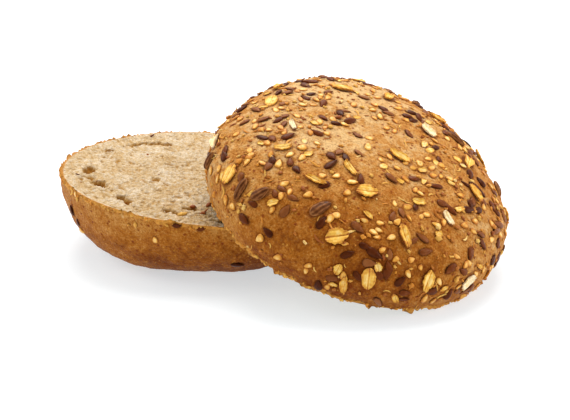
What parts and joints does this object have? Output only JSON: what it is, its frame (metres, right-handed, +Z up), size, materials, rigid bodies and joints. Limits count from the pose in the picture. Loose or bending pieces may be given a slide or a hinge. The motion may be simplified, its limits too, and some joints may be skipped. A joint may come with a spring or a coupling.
{
  "type": "burger bun",
  "caption": "Round seeded wholegrain burger bun cut in two: a flat-based heel, cut face up, and a domed crown that leans on its edge, cut face down.",
  "frame": {"origin": "the middle of the heel's flat base, on the surface that both halves rest on", "axes": "+Z up. +X runs level from the middle of the heel to the middle of the crown, the longest way. +Y completes the right-handed frame."},
  "size_m": [0.1618, 0.1096, 0.059],
  "materials": {
    "crown_bread": "matte",
    "heel_bread": "matte",
    "oat_flake": "matte",
    "sunflower_kernel": "satin",
    "linseed": "satin",
    "sesame_seed": "satin"
  },
  "bodies": {
    "root": {"crown": "crown_bread", "heel": "heel_bread", "oat_flake_01": "oat_flake", "oat_flake_02": "oat_flake", "oat_flake_03": "oat_flake", "oat_flake_04": "oat_flake", "oat_flake_05": "oat_flake", "oat_flake_06": "oat_flake", "oat_flake_07": "oat_flake", "oat_flake_08": "oat_flake", "oat_flake_09": "oat_flake", "oat_flake_10": "oat_flake", "oat_flake_11": "oat_flake", "oat_flake_12": "oat_flake", "oat_flake_13": "oat_flake", "oat_flake_14": "oat_flake", "oat_flake_15": "oat_flake", "oat_flake_16": "oat_flake", "oat_flake_17": "oat_flake", "oat_flake_18": "oat_flake", "oat_flake_19": "oat_flake", "oat_flake_20": "oat_flake", "oat_flake_21": "oat_flake", "oat_flake_22": "oat_flake", "oat_flake_23": "oat_flake", "oat_flake_24": "oat_flake", "oat_flake_25": "oat_flake", "oat_flake_26": "oat_flake", "oat_flake_27": "oat_flake", "sunflower_kernel_01": "sunflower_kernel", "sunflower_kernel_02": "sunflower_kernel", "sunflower_kernel_03": "sunflower_kernel", "sunflower_kernel_04": "sunflower_kernel", "sunflower_kernel_05": "sunflower_kernel", "sunflower_kernel_06": "sunflower_kernel", "sunflower_kernel_07": "sunflower_kernel", "linseed_01": "linseed", "linseed_02": "linseed", "linseed_03": "linseed", "linseed_04": "linseed", "linseed_05": "linseed", "linseed_06": "linseed", "linseed_07": "linseed", "linseed_08": "linseed", "linseed_09": "linseed", "linseed_10": "linseed", "linseed_11": "linseed", "linseed_12": "linseed", "sesame_seed_01": "sesame_seed", "sesame_seed_02": "sesame_seed", "sesame_seed_03": "sesame_seed", "sesame_seed_04": "sesame_seed", "sesame_seed_05": "sesame_seed", "sesame_seed_06": "sesame_seed", "sesame_seed_07": "sesame_seed", "sesame_seed_08": "sesame_seed", "sesame_seed_09": "sesame_seed", "sesame_seed_10": "sesame_seed", "sesame_seed_11": "sesame_seed", "sesame_seed_12": "sesame_seed"}
  },
  "joints": []
}
